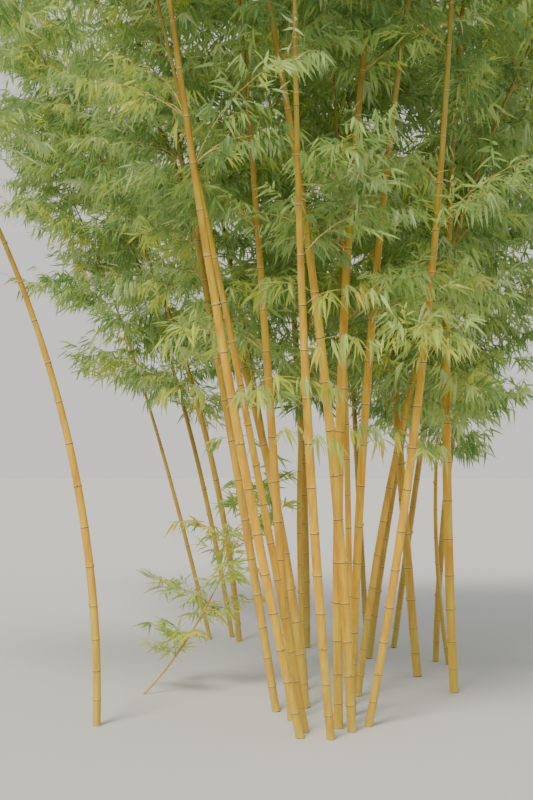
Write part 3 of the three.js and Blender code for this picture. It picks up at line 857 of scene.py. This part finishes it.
# %% Twig rule
FRONT_SPACING = 0.046
BACK_SPACING = 0.038  # the culms at the back are leafier
YOUNG_SPACING = {SPRIG: 0.065, SHOOT: 0.050}
BACK_TWIGS = 1.25  # times as long
YOUNG_TWIGS = 0.5
FIRST_TWIG = 0.20  # as a share of the branch's length
LONGEST_TWIG, TWIG_LOSS = 0.32, 0.15  # the length at a branch's foot, and how much is lost to its end
TWIG_VARIES = (0.55, 1.15)
TWIG_ANGLES = (0.4, 1.4)  # to the side of the branch, in radians
TWIG_RISES = (-0.45, 0.75)  # above level, in radians
TIP_SPRAY = 0.30  # the last twig carries on the culm's own tip
LOW_MARGIN = (0.05, 0.05, 0.12)  # kept free inside the solids' box, at its low corner
HIGH_MARGIN = 0.05


def grow_twigs(culm, rng):
    """Bases, ends and kinds of the twigs on a culm's branches, and one at its own tip."""
    base, middle, end, _, azimuth, growth = culm.branches
    lengths = np.linalg.norm(end - base, axis=1)
    own_spacing, own_size = (BACK_SPACING, BACK_TWIGS) if culm.name in BACK else (FRONT_SPACING, 1.0)
    rows = []
    for b in range(len(base)):
        spacing = YOUNG_SPACING.get(growth[b], own_spacing)
        shares = np.arange(FIRST_TWIG * lengths[b], lengths[b], spacing) / lengths[b]
        shares = np.append(shares + rng.normal(0, 0.012, len(shares)), 1.0).clip(0.05, 1)
        start = arch(base[b:b + 1], middle[b:b + 1], end[b:b + 1], shares)[0]
        hand = np.where(np.arange(len(shares)) % 2, 1.0, -1.0)
        hand[-1] = 0
        turned = azimuth[b] + hand * rng.uniform(*TWIG_ANGLES, len(shares))
        size = (LONGEST_TWIG - TWIG_LOSS * shares) * rng.uniform(*TWIG_VARIES, len(shares))
        size *= min(1.0, 0.55 + lengths[b])  # a short branch has short twigs
        size *= own_size if growth[b] == CROWN else YOUNG_TWIGS
        tip = start + directions(turned, rng.uniform(*TWIG_RISES, len(shares))) * size[:, None]
        rows.append((start, tip, np.full(len(shares), growth[b])))
    start, towards, _ = culm.at(culm.length - 0.02)
    rows.append((start[None], (start + towards * TIP_SPRAY)[None], np.array([CROWN])))
    return joined(rows)


low_corner = np.array(cad_box[0]) + LOW_MARGIN
high_corner = np.array(cad_box[1]) - HIGH_MARGIN


def within_reach(points, slack=0.0):
    """Which points lie within the clump's reach, or no more than slack outside it."""
    return np.all((points > low_corner - slack) & (points < high_corner + slack), axis=1)


for number, culm in enumerate(culms.values()):
    culm.twigs = grow_twigs(culm, np.random.default_rng(900 + number))
    inside = within_reach(culm.twigs[1])
    culm.twigs = [column[inside] for column in culm.twigs]
print("twigs:", total("twigs"))

# %% [markdown]
# ## One leaf
#
# A bamboo leaf is a long narrow blade with a rounded base and a drawn-out point, and it bends down along its
# length. One leaf is modelled from a small grid: its rows are scaled to the blade's width and lowered to the
# bend, and its two ends are merged to points. Its few triangles let it be copied by the hundred thousand.

# %% Model one leaf
LEAF_ROWS = [  # place along the leaf, width, and how far the leaf has bent down there
    (0.0, 0.0, 0.0), (0.24, 1.0, -0.005), (0.60, 0.68, -0.05), (1.0, 0.0, -0.17),
]
bpy.ops.mesh.primitive_grid_add(x_subdivisions=1, y_subdivisions=3, size=1, location=(0, 0.5, 0))
leaf = bpy.context.object
leaf.name = "leaf_pattern"
bpy.ops.object.transform_apply(location=True)
for row, (_, width, drop) in enumerate(LEAF_ROWS):
    bpy.ops.object.mode_set(mode="EDIT")
    bpy.ops.mesh.select_all(action="DESELECT")
    bpy.ops.object.mode_set(mode="OBJECT")
    for vertex in leaf.data.vertices:
        vertex.select = abs(vertex.co.y - row / 3) < 1e-3
    bpy.ops.object.mode_set(mode="EDIT")
    bpy.ops.transform.resize(value=(max(width, 1e-4), 1, 1), center_override=(0, row / 3, 0))
    bpy.ops.transform.translate(value=(0, 0, drop))
    if width == 0:
        bpy.ops.mesh.merge(type="CENTER")
bpy.ops.mesh.select_all(action="SELECT")
bpy.ops.mesh.quads_convert_to_tris()
bpy.ops.object.mode_set(mode="OBJECT")
leaf_points = np.array([v.co for v in leaf.data.vertices])
rows_at = np.rint(leaf_points[:, 1] * 3).astype(int)
leaf_points[:, 1] = np.array([r[0] for r in LEAF_ROWS])[rows_at]
leaf_faces = np.array([list(p.vertices) for p in leaf.data.polygons])
bpy.data.objects.remove(leaf)
print("one leaf has", len(leaf_points), "points and", len(leaf_faces), "triangles")

# %% [markdown]
# ## Leaves on every twig
#
# Leaves sit left and right in turn on the outer part of a twig, closest together at its end, and their weight
# pulls them down. A leaf is about thirteen centimetres long and less than two wide. Those of the culms at the
# back are a little larger than life, because a real crown has more leaves than this one can hold. All leaves
# of a spray take one colour, and neighbouring sprays are often alike, so light and dark lie in patches.
#
# The crown's leaves hang loosely, those of the lone branches hang more steeply, and those of the young low
# shoot stand out stiffly. So some rules below have three numbers, one for each kind of growth.

# %% Leaf rule
LEAF_LENGTH = 0.130
LEAF_WIDTH = 0.0175
BACK_SIZE = 1.16
LEAVES_PER_TWIG = 11
LEAFY_SHARE = 0.78  # of a twig, from its end
LEAF_VARIES = (0.62, 1.15)
LEAF_ANGLES = (0.10, 1.15)  # to the side of the twig, in radians
LEAF_STRAY = 0.30
ROLL = 0.8  # about a leaf's own length, in radians
COLOUR_SHARES = (0.30, 0.28, 0.18, 0.13, 0.10, 0.01)
YOUNG_SHARES = (0.34, 0.12, 0.00, 0.06, 0.40, 0.08)  # on the low shoot and the lone branches
HANG = np.array((0.62, 1.00, 0.15))  # below level, in radians
HANG_VARIES = np.array((0.36, 0.20, 0.40))  # from twig to twig
HANG_STRAY = 0.32  # from leaf to leaf
HANG_LIMITS = (-0.7, 1.45)
KEPT = np.array((0.94, 0.60, 0.60))  # how many of a twig's leaves are there
SIZES = np.array((1.0, 1.25, 0.9))
PATCH = 0.4  # across, in which sprays are often alike
PATCH_CODES = np.array((7919, 104729, 1299709))  # they make one number of a patch's place
ALIKE = 0.45  # the share of sprays that take their patch's colour


def grow_leaves(twigs, sizes, rng):
    """Roots, directions, sides, lengths and colours of all the leaves on an array of twigs."""
    base, end, growth = twigs
    shape = (len(base), LEAVES_PER_TWIG)
    leaf = np.arange(LEAVES_PER_TWIG) / (LEAVES_PER_TWIG - 1)
    share = np.clip(1 - LEAFY_SHARE * leaf ** 1.1 + rng.normal(0, 0.03, shape), 0.12, 1)[..., None]
    roots = base[:, None] * (1 - share) + end[:, None] * share
    towards = end - base
    hand = np.where(np.arange(LEAVES_PER_TWIG) % 2, 1.0, -1.0)
    turned = (np.arctan2(towards[:, 1], towards[:, 0])[:, None] + hand * rng.uniform(*LEAF_ANGLES, shape)
              + rng.normal(0, LEAF_STRAY, shape))
    hang = rng.normal(HANG[growth], HANG_VARIES[growth])[:, None] + rng.normal(0, HANG_STRAY, shape)
    along = directions(turned, -np.clip(hang, *HANG_LIMITS))
    length = LEAF_LENGTH * (sizes * SIZES[growth])[:, None] * rng.uniform(*LEAF_VARIES, shape)
    roll = rng.normal(0, ROLL, shape)[..., None]
    flat_side = unit(np.cross(along, UP))
    face = np.cross(flat_side, along)
    sides = flat_side * np.cos(roll) + face * np.sin(roll)
    fresh = rng.choice(len(LEAF_COLOURS), len(base), p=YOUNG_SHARES)
    colours = np.broadcast_to(np.where(growth == CROWN, spray_colours(base, rng), fresh)[:, None], shape)
    keep = rng.uniform(0, 1, shape) < KEPT[growth][:, None]
    return roots[keep], along[keep], sides[keep], length[keep], colours[keep]


def spray_colours(places, rng):
    """A colour for each spray: its own, or the green that its patch of the crown shares."""
    patch = np.floor(places / PATCH).astype(int) @ PATCH_CODES
    own = rng.choice(len(LEAF_COLOURS), len(places), p=COLOUR_SHARES)
    patches, member = np.unique(patch, return_inverse=True)
    greens = np.array(COLOUR_SHARES[:-1])
    shared = rng.choice(len(greens), len(patches), p=greens / sum(COLOUR_SHARES[:-1]))[member]
    return np.where(rng.uniform(0, 1, len(places)) < ALIKE, shared, own)


def leaf_mesh(name, leaves):
    """All leaves as one mesh of copies of the modelled leaf."""
    roots, along, sides, length, colours = leaves
    face = np.cross(sides, along)
    width = LEAF_WIDTH * (length / LEAF_LENGTH) ** 0.6
    local = leaf_points[None]
    points = (roots[:, None] + sides[:, None] * local[..., :1] * width[:, None, None]
              + along[:, None] * local[..., 1:2] * length[:, None, None]
              + face[:, None] * local[..., 2:] * length[:, None, None])
    faces = leaf_faces[None] + (np.arange(len(roots)) * len(leaf_points))[:, None, None]
    return mesh_from_arrays(name, points.reshape(-1, 3), [faces.reshape(-1, 3)], leaf_materials,
                            np.repeat(colours, len(leaf_faces)), smooth=False)


print("up to", LEAVES_PER_TWIG, "leaves on a twig, in", len(LEAF_COLOURS), "colours")

# %% [markdown]
# ## The crown, in pieces
#
# The crown is joined into a few pieces, each of a group of neighbouring culms, with branches, twigs and
# leaves apart. Each stands for the solid masses of its culms.

# %% Build the crown
BRANCH_RINGS = 7
BRANCH_SIDES = 4
BRANCH_TIP = 0.3  # its radius there, as a share of that at its base
TWIG_RADIUS = 0.0018
TWIG_SIDES = 3
TWIG_TIP = 0.5
LEAF_SLACK = 0.05  # how far leaves may pass the twigs' reach
GROUPS = {
    "left": ["culm_01", "culm_02", "culm_03", "culm_04", "shoot_low_left"],
    "front_left": ["culm_05", "culm_06", "culm_07", "culm_08"],
    "middle": ["culm_09", "culm_10", "culm_13", "culm_25"],
    "front_right": ["culm_14", "culm_15", "culm_16", "culm_18"],
    "right": ["culm_17", "culm_19", "culm_20"],
    "back": ["culm_11", "culm_12", "culm_21", "culm_26"],
    "back_right": ["culm_22", "culm_23", "culm_24"],
}


def masses_of(names):
    """The foliage solids that hang on these culms."""
    stems = [name.replace("culm", "foliage").replace("shoot", "foliage") for name in names]
    return [node for node in sorted(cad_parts) for stem in stems if node.startswith(stem)]


def branch_mesh(name, branches):
    """All branches as one mesh of arching tubes."""
    path = arch(*branches[:3], np.linspace(0, 1, BRANCH_RINGS))
    radii = branches[3][:, None] * np.linspace(1, BRANCH_TIP, BRANCH_RINGS)
    return mesh_from_arrays(name, *tubes(path, radii, BRANCH_SIDES), [branch_cane])


def twig_mesh(name, twigs):
    """All twigs as one mesh of straight tubes, each with a ring at both ends."""
    path = np.stack(twigs[:2], axis=1)
    radii = np.full((len(path), 2), TWIG_RADIUS) * (1, TWIG_TIP)
    return mesh_from_arrays(name, *tubes(path, radii, TWIG_SIDES), [green_twig])


leaf_count = 0
for number, (title, names) in enumerate(GROUPS.items()):
    nodes = masses_of(names)
    twigs = joined([culms[n].twigs for n in names])
    belongs(branch_mesh("branches_" + title, joined([culms[n].branches for n in names])), "culm", *nodes)
    belongs(twig_mesh("twigs_" + title, twigs), "foliage", *nodes)
    sizes = np.concatenate([np.full(len(culms[n].twigs[0]), BACK_SIZE if n in BACK else 1.0) for n in names])
    leaves = grow_leaves(twigs, sizes, np.random.default_rng(2000 + number))
    inside = within_reach(leaves[0] + leaves[1] * leaves[3][:, None], LEAF_SLACK)
    leaves = [column[inside] for column in leaves]
    leaf_count += len(leaves[0])
    belongs(leaf_mesh("leaves_" + title, leaves), "foliage", *nodes)
print("leaves:", leaf_count)
